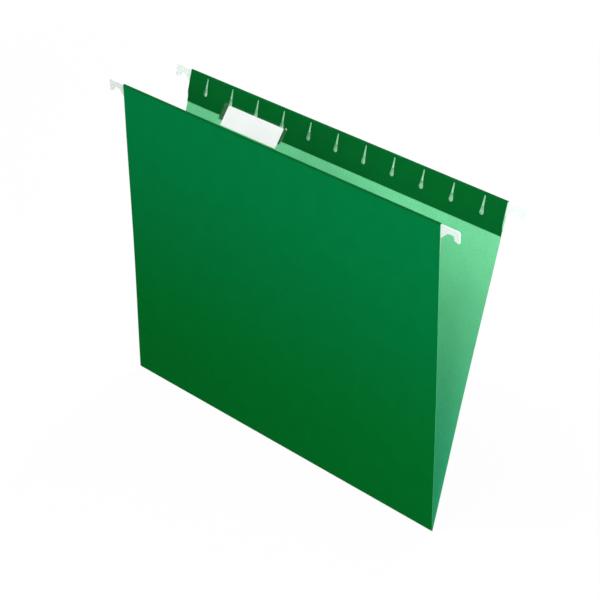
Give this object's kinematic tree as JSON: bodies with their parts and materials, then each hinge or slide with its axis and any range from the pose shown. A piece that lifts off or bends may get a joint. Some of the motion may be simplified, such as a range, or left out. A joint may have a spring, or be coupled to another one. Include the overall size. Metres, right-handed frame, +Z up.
{
  "type": "hanging file folder",
  "caption": "Hanging file folder: folded card sheet with rods in its top edges, coated rail hooks, slotted inner flaps and a clear label tab with a card insert.",
  "frame": {"origin": "under the middle of the bottom crease, at the crease's lowest line, midway between the two panels", "axes": "+Z up, +X along the crease towards the right-hand end seen from the front, front panel with the tab towards -Y"},
  "size_m": [0.3292, 0.067, 0.2467],
  "materials": {
    "green_card": "matte dyed card, dark outside and light inside",
    "white_coat": "smooth dipped coat",
    "rod_lacquer": "rolled steel strip under a thin white lacquer",
    "clear_plastic": "clear, glossy",
    "white_card": "smooth white card",
    "glue": "dried glue film"
  },
  "bodies": {
    "back_rod": {"back_rod": "rod_lacquer", "back_left_hook": "white_coat", "back_right_hook": "white_coat"},
    "back_sheet": {"back_panel": "green_card", "back_top_fold": "green_card", "back_flap": "green_card", "back_hem": "green_card", "back_hem_glue": "glue", "bottom_crease": "green_card"},
    "front_sheet": {"front_panel": "green_card", "front_top_fold": "green_card", "front_flap": "green_card", "front_hem": "green_card", "front_hem_glue": "glue"},
    "front_rod": {"front_rod": "rod_lacquer", "front_left_hook": "white_coat", "front_right_hook": "white_coat"},
    "tab": {"label_tab": "clear_plastic"},
    "insert": {"label_insert": "white_card"}
  },
  "joints": [
    {"name": "back_sleeve_slide", "type": "slide", "parent": "back_rod", "child": "back_sheet", "axis": [1, 0, 0], "range_m": [-0.002, 0.002]},
    {"name": "bottom_fold", "type": "hinge", "parent": "back_sheet", "child": "front_sheet", "pos_m": [0, 0, 0.0005], "axis": [1, 0, 0], "range_deg": [-14.2, 81.5], "deforming": ["bottom_crease"]},
    {"name": "front_sleeve_slide", "type": "slide", "parent": "front_sheet", "child": "front_rod", "axis": [1, 0, 0], "range_m": [-0.002, 0.002]},
    {"name": "tab_slot_slide", "type": "slide", "parent": "front_sheet", "child": "tab", "axis": [0, -0.1409, 0.99], "range_m": [-0.0022, 0]},
    {"name": "insert_slide", "type": "slide", "parent": "tab", "child": "insert", "axis": [1, 0, 0], "range_m": [0, 0.045]}
  ]
}
